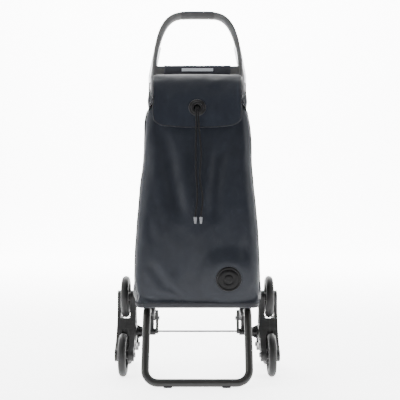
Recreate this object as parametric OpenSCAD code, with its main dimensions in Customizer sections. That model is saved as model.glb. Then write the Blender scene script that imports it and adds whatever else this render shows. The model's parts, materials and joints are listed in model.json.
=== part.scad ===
// Folding shopping trolley: a leaning tube frame with a moulded loop handle, a fabric bag with
// a flap lid, a U-shaped foot that folds up, and two stair-climbing clusters of three wheels.
// X runs across the trolley, Y from front to back and Z up. The origin is on the ground, below
// the middle of the trolley. Paired parts are written for the right side and mirrored.

/* [Overall] */
// Depth from the front of the foot bar to the back of the rear tyres
overall_depth = 386; // [380:1:392]
// Lean of the side tubes, back from the vertical, in degrees
lean = 3; // [2.5:0.5:3.5]

/* [Wheels] */
// Outer diameter of each tyre
wheel_d = 120; // [116:1:121]
// Width of each tyre
tyre_w = 22; // [20:0.5:23]
// Distance from the hub of a cluster to the centre of each of its wheels
cluster_r = 102; // [101:1:104]
// Distance from the centre plane to the middle plane of the wheels
wheel_x = 207; // [206:0.5:208]
// Diameter of the axle that each cluster turns on
axle_d = 10; // [9:0.5:11]

/* [Frame] */
// Distance from the centre plane to the middle of each side tube
side_x = 134; // [133:0.5:135]
// Width of a side tube, across the trolley
tube_w = 20; // [18:0.5:20]
// Depth of a side tube, front to back
tube_d = 28; // [26:0.5:29]
// Wall thickness of the side tubes
tube_wall = 1.5; // [1.2:0.1:2]
// Inward bend at the top of each side tube, in degrees
tube_bend = 11; // [9:1:11]

/* [Handle] */
// Height of the handle's crossbar above the hub, along the side tubes
crossbar_s = 763; // [760:1:766]
// Rise of the handle loop above its crossbar, to the middle of the grip
loop_rise = 168; // [160:1:172]
// Half the width of the handle loop, to the middle of its legs
loop_half = 127; // [126:0.5:127.5]

/* [Foot] */
// Diameter of the foot's tube
foot_d = 21; // [19:0.5:21]
// Wall thickness of the foot's tube
foot_wall = 1.2; // [1:0.1:1.6]
// Distance from the centre plane to the middle of each foot leg
foot_x = 138; // [137.8:0.1:138.2]
// Slope of the foot's legs from the vertical, in degrees
foot_slope = 27; // [25:0.5:28]
// Front-to-back place of the pivot that the foot folds on
fold_y = -25; // [-27:1:-24]
// Height of the pivot that the foot folds on
fold_z = 182; // [181:0.5:183]

/* [Bag] */
// Wall thickness of the bag's shell
bag_wall = 3; // [2.5:0.5:4]
// Width of the flap lid
flap_w = 246; // [236:2:248]
// Diameter of the round badge
badge_d = 68; // [50:1:80]
// Diameter of the drawcord
cord_d = 4.5; // [4:0.5:4.5]

/* [Hidden] */
$fn = 64;
gap = 0.3;
SIDES = [["left", -1], ["right", 1]];
WHEELS = [["top", 90], ["front", 210], ["rear", 330]];
function per_side(names) = [for (s = SIDES, n = names) str(n, "_", s[0])];

// --- Places that several parts share ---
hub_z = wheel_d / 2 + cluster_r * sin(30);
hub_y = overall_depth / 2 - wheel_d / 2 - cluster_r * cos(30);
axle_r = axle_d / 2;
run_fit = 0.06;
tube_foot_s = 40;
tube_bend_s = 745;
tube_tail = 90;
pad_t = 1.5;
foot_r = foot_d / 2;
foot_y = -overall_depth / 2 + foot_r;
foot_z = foot_r + pad_t;
foot_corner_r = 35;
foot_bend_r = 30;
arm_rise = 6;
arm_start = 16;

// Line of the legs and line of the arms in the Y-Z plane, and the corner where they meet
function cross2(a, b) = a[0] * b[1] - a[1] * b[0];
leg_dir = [sin(foot_slope), cos(foot_slope)];
arm_dir = [-cos(arm_rise), sin(arm_rise)];
fold_from_foot = [fold_y - foot_y, fold_z - foot_z];
leg_len = cross2(fold_from_foot, arm_dir) / cross2(leg_dir, arm_dir);
arm_len = cross2(fold_from_foot, leg_dir) / cross2(leg_dir, arm_dir);
foot_turn = 90 - foot_slope + arm_rise;
foot_tangent = foot_bend_r * tan(foot_turn / 2);

// --- Placement helpers ---
module on_side(s) { if (s < 0) mirror([1, 0, 0]) children(); else children(); }
// A 2D shape in the Y-Z plane, extruded across the trolley from x0 to x1
module across(x0, x1) { translate([x0, 0, 0]) rotate([90, 0, 90]) linear_extrude(x1 - x0) children(); }
// A cylinder across the trolley from x0 to x1, centred on p = [y, z]
module rod_x(x0, x1, r, p) { translate([x0, p[0], p[1]]) rotate([0, 90, 0]) cylinder(h = x1 - x0, r = r); }
// The frame of the side tubes: Z runs up along the tubes from the hub's axis
module in_frame() { translate([0, hub_y, hub_z]) rotate([-lean, 0, 0]) children(); }
module at_hub() { translate([0, hub_y, hub_z]) children(); }
module at_hub_wheels() { for (w = WHEELS) translate(wheel_place(w[1])) children(); }
function wheel_place(a) = [0, hub_y + cluster_r * cos(a), hub_z + cluster_r * sin(a)];
module slot2d(w, d) {
  square([w, d - w], center = true);
  for (s = [-1, 1]) translate([0, s * (d - w) / 2]) circle(d = w);
}
module rounded2d(w, d, r) {
  square([w - 2 * r, d], center = true);
  square([w, d - 2 * r], center = true);
  for (x = [-1, 1], y = [-1, 1]) translate([x * (w / 2 - r), y * (d / 2 - r)]) circle(r = r);
}

// --- Side tubes ---
// A solid tube shape from start_s up, its section larger by grow on every side
module tube_shape(start_s, grow = 0) {
  mitre = 1.5;
  translate([side_x, 0, start_s]) linear_extrude(tube_bend_s - start_s + mitre)
    slot2d(tube_w + 2 * grow, tube_d + 2 * grow);
  translate([side_x, 0, tube_bend_s]) rotate([0, -tube_bend, 0]) translate([0, 0, -mitre])
    linear_extrude(tube_tail + mitre + grow) slot2d(tube_w + 2 * grow, tube_d + 2 * grow);
}
bolt_s = 57;
bolt_y = 4;
module bolt_hole(r) { translate([110, bolt_y, bolt_s]) rotate([0, 90, 0]) cylinder(h = 50, r = r); }
bolt_r = 2.5;
screw_r = 2.2;
SCREW_S = [770, 800];
module handle_screw_holes(r) {
  for (s = SCREW_S) translate([screw_x(s), 30, s]) rotate([90, 0, 0]) cylinder(h = 46, r = r);
}
function screw_x(s) = side_x - 2 - (s - tube_bend_s) * tan(tube_bend);
module side_tube() {
  color("silver") in_frame() difference() {
    tube_shape(tube_foot_s);
    tube_shape(tube_foot_s - 1, -tube_wall);
    bolt_hole(bolt_r);
    handle_screw_holes(screw_r);
  }
}

// --- Handle: a swept loop with a crossbar, seated on the bent tops of the side tubes ---
handle_y = -4;
handle_foot_s = 743;
crossbar_h = 25.6;
crossbar_d = 24;
loop_base_s = crossbar_s - 3;
function loop_x(t) = loop_half * sign(cos(t)) * pow(abs(cos(t)), 0.444);
function loop_s(t) = loop_base_s + loop_rise * pow(sin(t), 1.25);
LOOP_T = [0, 5, 10, 15, 20, 26, 32, 38, 44, 50, 56, 62, 68, 74, 79, 83, 87, 90];
LOOP_ANGLES = concat(LOOP_T, [for (i = [len(LOOP_T) - 2:-1:0]) 180 - LOOP_T[i]]);
LOOP_PATH = concat([[loop_half, handle_foot_s]], [for (t = LOOP_ANGLES) [loop_x(t), loop_s(t)]],
                   [[-loop_half, handle_foot_s]]);
function grip_share(p) = max(0, min(1, (p[1] - loop_base_s - 60) / (loop_rise - 60)));
function loop_width(p) = 14 + 7 * grip_share(p);
function loop_depth(p) = 32 - 4 * grip_share(p);
function unit(v) = v / norm(v);
function path_dir(i) = i == 0 ? [0, 1] : i == len(LOOP_PATH) - 1 ? [0, -1]
  : unit(LOOP_PATH[i + 1] - LOOP_PATH[i - 1]);
loop_sides = 16;
function rounded(v) = sign(v) * pow(abs(v), 0.75);
module handle_loop() {
  points = [for (i = [0:len(LOOP_PATH) - 1], k = [0:loop_sides - 1])
    let (p = LOOP_PATH[i], d = path_dir(i), a = 360 * k / loop_sides,
         across_w = rounded(cos(a)) * loop_width(p) / 2)
    [p[0] + d[1] * across_w, handle_y + rounded(sin(a)) * loop_depth(p) / 2, p[1] - d[0] * across_w]];
  last = (len(LOOP_PATH) - 1) * loop_sides;
  faces = concat(
    [[for (k = [0:loop_sides - 1]) k]],
    [for (i = [0:len(LOOP_PATH) - 2], k = [0:loop_sides - 1], half = [0, 1])
      let (a = i * loop_sides + k, b = i * loop_sides + (k + 1) % loop_sides)
      half == 0 ? [a, a + loop_sides, b] : [b, a + loop_sides, b + loop_sides]],
    [[for (k = [loop_sides - 1:-1:0]) last + k]]);
  polyhedron(points, faces);
}
module crossbar_shape(grow) {
  translate([-loop_half, handle_y, crossbar_s]) rotate([0, 90, 0])
    linear_extrude(2 * loop_half) rounded2d(crossbar_h + 2 * grow, crossbar_d + 2 * grow, 6 + grow);
}
module handle() {
  color("dimgray") in_frame() difference() {
    union() {
      handle_loop();
      crossbar_shape(0);
    }
    for (s = [-1, 1]) on_side(s) {
      tube_shape(handle_foot_s - 20, 0.1);
      handle_screw_holes(screw_r);
    }
  }
}
module handle_screws() {
  head_t = 2.4;
  tail_y = -14;
  color("gray") in_frame() for (m = [-1, 1]) on_side(m) for (s = SCREW_S)
    translate([screw_x(s), 0, s]) rotate([90, 0, 0]) {
      translate([0, 0, tail_y]) cylinder(h = 28, r = screw_r);
      translate([0, 0, tail_y - head_t]) cylinder(h = head_t, r = 4);
    }
}

// --- Hanger sleeve: the fabric band that wraps the crossbar and holds the bag up ---
sleeve_w = 194;
panel_top_s = 742;
panel_y = -tube_d / 2 - 1;
module hanger_sleeve() {
  sleeve_t = 2;
  wrap = gap + sleeve_t;
  color("darkslategray") in_frame() {
    difference() {
      translate([-sleeve_w / 2, handle_y, crossbar_s]) rotate([0, 90, 0])
        linear_extrude(sleeve_w) rounded2d(crossbar_h + 2 * wrap, crossbar_d + 2 * wrap, 6 + wrap);
      crossbar_shape(gap);
    }
    translate([-sleeve_w / 2, handle_y - crossbar_d / 2 - wrap, panel_top_s + gap])
      cube([sleeve_w, sleeve_t, 20]);
  }
}
module sleeve_label() {
  label_w = 92;
  label_h = 9;
  label_t = 0.8;
  color("lightgray") in_frame()
    translate([-label_w / 2, handle_y - crossbar_d / 2 - 2.3 - gap - label_t, crossbar_s - label_h / 2])
      cube([label_w, label_t, label_h]);
}

// --- Hub brackets, axles and their covers ---
block_x = [121, 147];
block_s = [34, 66];
lug_x = [121, 127.3];
lug_r = 15;
housing_r = 9.5;
housing_x = [121, 162];
pin_r = 4;
latch_y = hub_y;
latch_z = hub_z + 40;
latch_pin_r = 3;
latch_pin_x = [109.5, 123.5];
module hub_bracket() {
  color([0.08, 0.08, 0.09]) difference() {
    union() {
      in_frame() translate([(block_x[0] + block_x[1]) / 2, 0, block_s[0]])
        linear_extrude(block_s[1] - block_s[0]) rounded2d(block_x[1] - block_x[0], tube_d + 8, 5);
      across(126, 137.5) polygon([[hub_y - 15, hub_z + 38], [hub_y + 17, hub_z + 38],
                                  [hub_y + 8, hub_z], [hub_y - 8, hub_z]]);
      rod_x(housing_x[0], housing_x[1], housing_r, [hub_y, hub_z]);
      across(lug_x[0], lug_x[1]) {
        translate([fold_y, fold_z]) circle(r = lug_r);
        polygon([[fold_y, fold_z + lug_r], [fold_y, fold_z - lug_r],
                 [hub_y - 8, hub_z + 34], [hub_y - 8, hub_z + 62]]);
      }
    }
    in_frame() translate([side_x, 0, tube_foot_s]) linear_extrude(60) slot2d(tube_w, tube_d);
    in_frame() bolt_hole(bolt_r);
    rod_x(100, 180, axle_r, [hub_y, hub_z]);
    rod_x(100, 160, pin_r, [fold_y, fold_z]);
    rod_x(100, latch_pin_x[1], latch_pin_r, [latch_y, latch_z]);
  }
}
module bracket_bolts() {
  color("silver") in_frame() for (s = [-1, 1]) on_side(s)
    translate([0, bolt_y, bolt_s]) rotate([0, 90, 0]) {
      translate([0, 0, block_x[0]]) cylinder(h = block_x[1] - block_x[0], r = bolt_r);
      translate([0, 0, block_x[1]]) cylinder(h = 2.6, r = 4.6, $fn = 6);
      translate([0, 0, block_x[0] - 2.2]) cylinder(h = 2.2, r = 4.2);
    }
}
cluster_x = [177, 230];
cap_x = 224;
module axle() {
  color("silver") rod_x(122, cap_x + 1, axle_r, [hub_y, hub_z]);
}
module axle_caps() {
  color("dimgray") for (s = [-1, 1]) on_side(s) at_hub() rotate([0, 90, 0]) rotate_extrude()
    polygon([[0, cap_x + 1], [axle_r, cap_x + 1], [axle_r, cap_x], [11, cap_x], [11, cap_x + 3],
             [8, cluster_x[1] - 0.6], [0, cluster_x[1]]]);
}
cone_x = [150, 174.5];
module axle_cone() {
  flange_t = 3;
  flange_r = 20;
  neck_r = 12;
  color([0.05, 0.05, 0.05]) difference() {
    union() {
      rod_x(cone_x[0], cone_x[1], neck_r, [hub_y, hub_z]);
      rod_x(cone_x[1] - flange_t, cone_x[1], flange_r, [hub_y, hub_z]);
      at_hub() for (a = [0:45:315]) rotate([a, 0, 0]) translate([0, 1, 0]) rotate([90, 0, 0])
        linear_extrude(2) polygon([[cone_x[0] + 4, neck_r - 1], [cone_x[1] - flange_t, flange_r - 0.5],
                                   [cone_x[1] - flange_t, 8], [cone_x[0] + 4, 8]]);
    }
    rod_x(cone_x[0] - 1, housing_x[1], housing_r, [hub_y, hub_z]);
    rod_x(cone_x[0] - 1, cone_x[1] + 1, axle_r, [hub_y, hub_z]);
  }
}
module thrust_washers() {
  color("silver") for (s = [-1, 1]) on_side(s) difference() {
    rod_x(cone_x[1], cone_x[1] + 1.8, 11, [hub_y, hub_z]);
    rod_x(cone_x[1] - 1, cone_x[1] + 3, axle_r, [hub_y, hub_z]);
  }
}

// --- Foot: a U of tube on two arms that pivot at the brackets ---
foot_sides = 24;
// Rings of the foot's right half, each a centre and two directions: corner, bend and arm end
FOOT_RINGS = let (
    plane = [0, leg_dir[1], -leg_dir[0]],
    corner = [for (a = [0:10:90]) [
      [foot_x - foot_corner_r * (1 - sin(a)),
       foot_y + foot_corner_r * (1 - cos(a)) * leg_dir[0], foot_z + foot_corner_r * (1 - cos(a)) * leg_dir[1]],
      [-sin(a), cos(a) * leg_dir[0], cos(a) * leg_dir[1]], plane]],
    centre = [foot_y, foot_z] + (leg_len - foot_tangent) * leg_dir + foot_bend_r * [leg_dir[1], -leg_dir[0]],
    bend = [for (i = [0:8]) let (a = 90 - foot_slope - foot_turn * i / 8)
      [[foot_x, centre[0] - foot_bend_r * sin(a), centre[1] + foot_bend_r * cos(a)],
       [-1, 0, 0], [0, sin(a), -cos(a)]]],
    arm_end = [[foot_x, fold_y + arm_start * arm_dir[0], fold_z + arm_start * arm_dir[1]],
               [-1, 0, 0], bend[8][2]])
  concat(corner, bend, [arm_end]);
function flip_x(v) = [-v[0], v[1], v[2]];
module foot_tube() {
  n = foot_sides;
  last = len(FOOT_RINGS) - 1;
  rings = concat([for (i = [last:-1:0]) [for (v = FOOT_RINGS[i]) flip_x(v)]], FOOT_RINGS);
  function ring_points(r) = [for (g = rings, k = [0:n - 1])
    g[0] + r * (cos(360 * k / n) * g[1] - sin(360 * k / n) * g[2])];
  m = len(rings) * n;
  end = m - n;
  color([0.2, 0.2, 0.2]) polyhedron(concat(ring_points(foot_r), ring_points(foot_r - foot_wall)), concat(
    [for (i = [0:len(rings) - 2], k = [0:n - 1], half = [0, 1])
      let (a = i * n + k, b = i * n + (k + 1) % n) half == 0 ? [a, a + n, b] : [b, a + n, b + n]],
    [for (i = [0:len(rings) - 2], k = [0:n - 1], half = [0, 1])
      let (a = m + i * n + k, b = m + i * n + (k + 1) % n) half == 0 ? [b, a + n, a] : [b + n, a + n, b]],
    [for (k = [0:n - 1]) let (b = (k + 1) % n) [k, b, m + b, m + k]],
    [for (k = [0:n - 1]) let (b = (k + 1) % n) [end + b, end + k, m + end + k, m + end + b]]));
}
end_x = [127.8, 148.2];
module foot_end() {
  plug_len = 20;
  color([0.1, 0.1, 0.1]) difference() {
    union() {
      rod_x(end_x[0], end_x[1], 14, [fold_y, fold_z]);
      translate([foot_x, fold_y, fold_z]) rotate([90 - arm_rise, 0, 0]) {
        cylinder(h = arm_start, r = foot_r - 0.3);
        cylinder(h = arm_start + plug_len, r = foot_r - foot_wall - 0.15);
      }
    }
    rod_x(100, 160, pin_r + run_fit, [fold_y, fold_z]);
  }
}
module fold_pin() {
  head_t = 2.6;
  color("silver") {
    rod_x(lug_x[0] - head_t, end_x[1] + head_t, pin_r, [fold_y, fold_z]);
    rod_x(lug_x[0] - head_t, lug_x[0], 7, [fold_y, fold_z]);
    rod_x(end_x[1] + gap, end_x[1] + head_t, 7, [fold_y, fold_z]);
  }
}
pad_x = 77;
module foot_pad() {
  color([0.06, 0.06, 0.06]) difference() {
    translate([pad_x - 11, foot_y - 9, 0]) cube([22, 18, 8]);
    rod_x(pad_x - 20, pad_x + 20, foot_r, [foot_y, foot_z]);
  }
}

// --- Latch: two levers joined by a thin rod ---
lever_x = [113, 120.5];
rod_p = [hub_y - 9, hub_z + 3];
rod_r = 2.5;
module latch_lever() {
  color("gray") difference() {
    across(lever_x[0], lever_x[1]) {
      hull() {
        translate([latch_y - 13, latch_z + 20]) circle(r = 5);
        translate([latch_y, latch_z]) circle(r = 10);
      }
      hull() {
        translate([latch_y, latch_z]) circle(r = 10);
        translate(rod_p) circle(r = 7);
      }
    }
    rod_x(100, 130, latch_pin_r + run_fit, [latch_y, latch_z]);
    rod_x(100, 130, rod_r, rod_p);
  }
}
module latch_rod() { color("dimgray") rod_x(-lever_x[1], lever_x[1], rod_r, rod_p); }
module latch_pins() {
  color("silver") for (s = [-1, 1]) on_side(s) {
    rod_x(latch_pin_x[0], latch_pin_x[1], latch_pin_r, [latch_y, latch_z]);
    rod_x(latch_pin_x[0], lever_x[0] - gap, 5.5, [latch_y, latch_z]);
  }
}

// --- Wheel clusters: two plates and a core, with the wheels between the plates ---
lobe_r = 18;
waist_r = 40;
plate_in = [177, 193];
plate_out = [221, 230];
split_x = 207;
sleeve_r = 5;
wheel_bolt_r = 4;
// Outline with three lobes joined by hollow arcs that touch them; it is exact at any size
module cluster_outline(lobe, waist) {
  q = waist - lobe;
  centre = (pow(cluster_r, 2) - pow(q, 2)) / (2 * (cluster_r * cos(60) - q));
  arc_r = centre - waist;
  function polar(r, a) = [r * cos(a), r * sin(a)];
  function touch(arc_a, lobe_a) = let (c = polar(centre, arc_a), l = polar(cluster_r, lobe_a))
    l + lobe * unit(c - l);
  difference() {
    polygon([for (w = WHEELS, s = [-1, 1]) touch(w[1] + s * 60, w[1])]);
    for (w = WHEELS) translate(polar(centre, w[1] + 60)) circle(r = arc_r, $fn = 128);
  }
  for (w = WHEELS) translate(polar(cluster_r, w[1])) circle(r = lobe);
}
module cluster_plate(x0, x1) { at_hub() across(x0, x1) cluster_outline(lobe_r, waist_r); }
module cluster_core(x0, x1) {
  clear_r = wheel_d / 2 + 3.5;
  at_hub() across(x0, x1) difference() {
    cluster_outline(lobe_r, waist_r);
    for (w = WHEELS) translate([cluster_r * cos(w[1]), cluster_r * sin(w[1])]) circle(r = clear_r);
  }
}
// Shallow moulded pockets, one in each arm of a plate
module cluster_pockets(x0, x1) {
  at_hub() across(x0, x1) difference() {
    cluster_outline(12, 33);
    circle(r = 25);
    for (w = WHEELS) translate([cluster_r * cos(w[1]), cluster_r * sin(w[1])]) circle(r = 14);
  }
}
// Sunk panels on the three sides of the core
module core_panels() {
  panel_l = 34;
  panel_w = 17;
  at_hub() for (w = WHEELS) rotate([w[1] - 30, 0, 0])
    translate([split_x - panel_w / 2, waist_r - 2.5, -panel_l / 2]) cube([panel_w, 10, panel_l]);
}
module cluster_inner() {
  color([0.32, 0.32, 0.32]) difference() {
    union() {
      cluster_plate(plate_in[0], plate_in[1]);
      cluster_core(plate_in[1], split_x);
    }
    rod_x(170, 240, axle_r + run_fit, [hub_y, hub_z]);
    at_hub_wheels() rotate([0, 90, 0]) cylinder(h = 240, r = wheel_bolt_r);
    cluster_pockets(plate_in[0] - 1, plate_in[0] + 4);
    core_panels();
  }
}
nut_seat_x = 225.4;
module cluster_outer() {
  color([0.32, 0.32, 0.32]) difference() {
    union() {
      cluster_plate(plate_out[0], plate_out[1]);
      cluster_core(split_x, plate_out[0]);
    }
    rod_x(170, 240, axle_r + run_fit, [hub_y, hub_z]);
    rod_x(cap_x - 0.5, 240, 14, [hub_y, hub_z]);
    at_hub_wheels() rotate([0, 90, 0]) cylinder(h = 240, r = wheel_bolt_r);
    at_hub_wheels() translate([nut_seat_x, 0, 0]) rotate([0, 90, 0]) cylinder(h = 20, r = 9);
    cluster_pockets(plate_out[1] - 2.5, plate_out[1] + 1);
    core_panels();
  }
}
module cluster_bolts() {
  head_t = 4.5;
  color("silver") at_hub_wheels() rotate([0, 90, 0]) {
    translate([0, 0, plate_in[0] - head_t]) cylinder(h = 229 - plate_in[0] + head_t, r = wheel_bolt_r);
    translate([0, 0, plate_in[0] - head_t]) cylinder(h = head_t, r = 7.2, $fn = 6);
    translate([0, 0, nut_seat_x]) cylinder(h = 3.8, r = 7, $fn = 6);
  }
}
module cluster_sleeves() {
  color("silver") at_hub_wheels() difference() {
    translate([plate_in[1], 0, 0]) rotate([0, 90, 0]) cylinder(h = plate_out[0] - plate_in[1], r = sleeve_r);
    translate([plate_in[1] - 1, 0, 0]) rotate([0, 90, 0]) cylinder(h = 40, r = wheel_bolt_r);
  }
}

// --- Wheels ---
seat_r = wheel_d / 2 - 14;
module tyre(a) {
  color([0.27, 0.27, 0.27]) translate(wheel_place(a)) translate([wheel_x, 0, 0]) rotate([0, 90, 0])
    rotate_extrude($fn = 96) difference() {
      union() {
        translate([wheel_d / 2 - tyre_w / 2, 0]) circle(d = tyre_w);
        translate([seat_r, -9]) square([3, 18]);
      }
      translate([seat_r - 20, -20]) square([20, 40]);
    }
}
module rim(a) {
  web = 3;
  barrel = 9;
  hub_half = 13;
  color([0.4, 0.4, 0.4]) translate(wheel_place(a)) translate([wheel_x, 0, 0]) rotate([0, 90, 0])
    difference() {
      rotate_extrude($fn = 96) polygon([
        [sleeve_r + run_fit, -hub_half], [11, -hub_half], [12.5, -web], [seat_r - 5, -web],
        [seat_r - 4, -barrel], [seat_r, -barrel], [seat_r, barrel], [seat_r - 4, barrel],
        [seat_r - 5, web], [12.5, web], [11, hub_half], [sleeve_r + run_fit, hub_half]]);
      for (k = [0:72:288]) rotate([0, 0, k]) translate([27, 0, -10]) cylinder(h = 20, r = 9.5);
    }
}

// --- Bag: a tapered shell that narrows to a drawn mouth, with a back panel up to the sleeve ---
// Each station is a height, the half-width there and the place of the front panel
BAG = [[203, 163, -126], [225, 169, -140], [285, 171, -152], [360, 169, -156], [440, 166, -152],
       [520, 161, -136], [600, 154, -112], [690, 150, -84], [740, 140, -66], [772, 118, -50]];
function back_y(z) = hub_y + (z - hub_z) * tan(lean) + panel_y / cos(lean);
front_chamfer = 20;
back_chamfer = 8;
function bag_ring(b, inset) =
  let (w = b[1] - inset, f = b[2] + inset, r = back_y(b[0]) - inset, c = front_chamfer, k = back_chamfer)
  [[-w + c, f, b[0]], [w - c, f, b[0]], [w, f + c, b[0]], [w, r - k, b[0]],
   [w - k, r, b[0]], [-w + k, r, b[0]], [-w, r - k, b[0]], [-w, f + c, b[0]]];
module lofted(rings) {
  n = len(rings[0]);
  last = (len(rings) - 1) * n;
  polyhedron([for (r = rings, p = r) p], concat(
    [[for (k = [0:n - 1]) k]],
    [for (i = [0:len(rings) - 2], k = [0:n - 1], half = [0, 1])
      let (a = i * n + k, b = i * n + (k + 1) % n) half == 0 ? [a, a + n, b] : [b, a + n, b + n]],
    [[for (k = [n - 1:-1:0]) last + k]]));
}
module bag_body() {
  top = BAG[len(BAG) - 1];
  inside = concat([[BAG[0][0] + bag_wall, BAG[0][1], BAG[0][2]]], [for (i = [1:len(BAG) - 1]) BAG[i]],
                  [[top[0] + 5, top[1], top[2]]]);
  color([0.2, 0.22, 0.26]) {
    difference() {
      lofted([for (b = BAG) bag_ring(b, 0)]);
      lofted([for (b = inside) bag_ring(b, bag_wall)]);
    }
    difference() {
      in_frame() translate([-118, panel_y - bag_wall, 640]) cube([236, bag_wall, panel_top_s - 640]);
      translate([-200, -200, 0]) cube([400, 400, top[0]]);
    }
  }
}
module hem_cord() {
  z = BAG[len(BAG) - 1][0] + cord_d / 2;
  half = [116.3, 53.7];
  mid_y = 5.2;
  corner = 24;
  color([0.12, 0.12, 0.13]) translate([0, mid_y, z]) {
    for (s = [-1, 1]) {
      translate([-half[0] + corner, s * half[1], 0]) rotate([0, 90, 0])
        cylinder(h = 2 * (half[0] - corner), d = cord_d);
      translate([s * half[0], half[1] - corner, 0]) rotate([90, 0, 0])
        cylinder(h = 2 * (half[1] - corner), d = cord_d);
      for (t = [-1, 1]) translate([s * (half[0] - corner), t * (half[1] - corner), 0])
        rotate([0, 0, s > 0 ? (t > 0 ? 0 : 270) : (t > 0 ? 90 : 180)])
          rotate_extrude(angle = 90) translate([corner, 0]) circle(d = cord_d);
    }
  }
}
TIE_S = [250, 560];
module bag_ties() {
  color([0.15, 0.16, 0.18]) in_frame() for (m = [-1, 1]) on_side(m) for (s = TIE_S)
    translate([side_x, 0, s]) linear_extrude(24) difference() {
      slot2d(tube_w + 4 + 2 * gap, tube_d + 4);
      slot2d(tube_w + 2 * gap, tube_d + 2 * gap);
      translate([-30, -tube_d / 2 - 3 + 0.9]) square([60, 1.1]);
    }
}
badge_x = 84;
badge_z = 282;
module badge() {
  tilt = 11.5;
  face_y = -153.2;
  color([0.1, 0.1, 0.1]) translate([badge_x, face_y, badge_z]) rotate([90 + tilt, 0, 0])
    rotate_extrude() difference() {
      polygon([[0, 0], [badge_d / 2, 0], [badge_d / 2, 1.5], [badge_d / 2 - 2, 3], [0, 3.6]]);
      translate([badge_d / 2 - 7, 3.4]) circle(r = 1);
    }
}

// --- Flap: a fabric lid that hinges at the top of the back panel and hangs over the front ---
FLAP = [[63.5, 846], [20, 850], [-20, 842], [-46, 822], [-62, 795], [-68, 785], [-78, 745], [-88, 705],
        [-91, 692]];
flap_t = 2.4;
grommet_p = [-77.5, 747];
grommet_tilt = 14;
grommet_hole = 10;
function flap_normal(i) = let (a = FLAP[max(0, i - 1)], b = FLAP[min(len(FLAP) - 1, i + 1)], d = unit(b - a))
  [d[1], -d[0]];
module flap_panel() {
  outer = [for (i = [0:len(FLAP) - 1]) FLAP[i] - flap_normal(i) * flap_t / 2];
  inner = [for (i = [len(FLAP) - 1:-1:0]) FLAP[i] + flap_normal(i) * flap_t / 2];
  color([0.2, 0.22, 0.27]) difference() {
    across(-flap_w / 2, flap_w / 2) polygon(concat(outer, inner));
    at_grommet() translate([0, 0, -10]) cylinder(h = 20, r = grommet_hole + 2);
  }
}
module at_grommet() {
  translate([0, grommet_p[0], grommet_p[1]]) rotate([90 - grommet_tilt, 0, 0]) children();
}
module grommet_front() {
  color([0.07, 0.07, 0.07]) at_grommet() rotate_extrude() polygon([
    [grommet_hole, -flap_t / 2], [grommet_hole + 1.9, -flap_t / 2], [grommet_hole + 1.9, flap_t / 2 + 0.2],
    [24, flap_t / 2 + 0.2], [23.5, flap_t / 2 + 1.6], [18, flap_t / 2 + 2.8], [grommet_hole + 1.5, flap_t / 2 + 2.8],
    [grommet_hole, flap_t / 2 + 1.6]]);
}
module grommet_back() {
  color([0.07, 0.07, 0.07]) at_grommet() translate([0, 0, -flap_t / 2 - 2]) difference() {
    cylinder(h = 1.8, r = 20);
    translate([0, 0, -1]) cylinder(h = 4, r = grommet_hole + 0.4);
  }
}

// --- Drawcord tails: from the mouth, through the grommet and down the front ---
CORDS = [
  [[-3, -55, 767], [-3, -62, 761], [-3, -70, 754], [-3, -78, 748], [-3, -86, 742], [-3, -91, 733],
   [-3, -93, 720], [-3, -95, 705], [-3, -97, 690], [-3, -99, 670], [-4, -105, 645], [-4, -113, 618],
   [-4, -121, 590], [-3, -129, 562], [-1, -136, 535], [0, -143, 508], [-1, -149, 482], [-4, -154, 462],
   [-5, -157, 448]],
  [[3, -55, 767], [3, -62, 761], [3, -70, 754], [3, -78, 748], [3, -86, 742], [3, -91, 733],
   [3, -93, 720], [4, -95, 705], [5, -97, 690], [7, -99, 670], [9, -105, 645], [11, -113, 618],
   [9, -121, 590], [7, -129, 562], [9, -136, 535], [14, -143, 508], [14, -149, 482], [11, -154, 462],
   [10, -157, 448]]];
cord_sides = 8;
cord_steps = 2;
// One point of a smooth curve through the route's points, at step t from point i to the next
function spline(p, i, t) =
  let (a = p[max(0, i - 1)], b = p[i], c = p[min(len(p) - 1, i + 1)], d = p[min(len(p) - 1, i + 2)])
  0.5 * (2 * b + (c - a) * t + (2 * a - 5 * b + 4 * c - d) * t * t + (3 * b - a - 3 * c + d) * t * t * t);
module cord_tube(route) {
  path = concat([for (i = [0:len(route) - 2], k = [0:cord_steps - 1]) spline(route, i, k / cord_steps)],
                [route[len(route) - 1]]);
  n = len(path);
  lofted([for (i = [0:n - 1])
    let (d = i == n - 1 ? [0, 0, -1] : unit(path[i + 1] - path[max(0, i - 1)]), u = [1, 0, 0],
         side = unit(u - (u * d) * d),
         up = cross(d, side))
    [for (k = [0:cord_sides - 1]) let (a = -360 * k / cord_sides)
      path[i] + cord_d / 2 * (cos(a) * side + sin(a) * up)]]);
}
module drawcord(i) { color([0.1, 0.1, 0.11]) cord_tube(CORDS[i]); }
module cord_end(i) {
  route = CORDS[i];
  tip = route[len(route) - 1];
  length = 18;
  color([0.35, 0.36, 0.38]) translate(tip) translate([0, 0, -length]) rotate_extrude()
    polygon([[0, 0], [3.8, 0], [4.5, 1], [4.2, 9], [3, length - 1], [2.6, length], [0, length]]);
}

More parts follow.
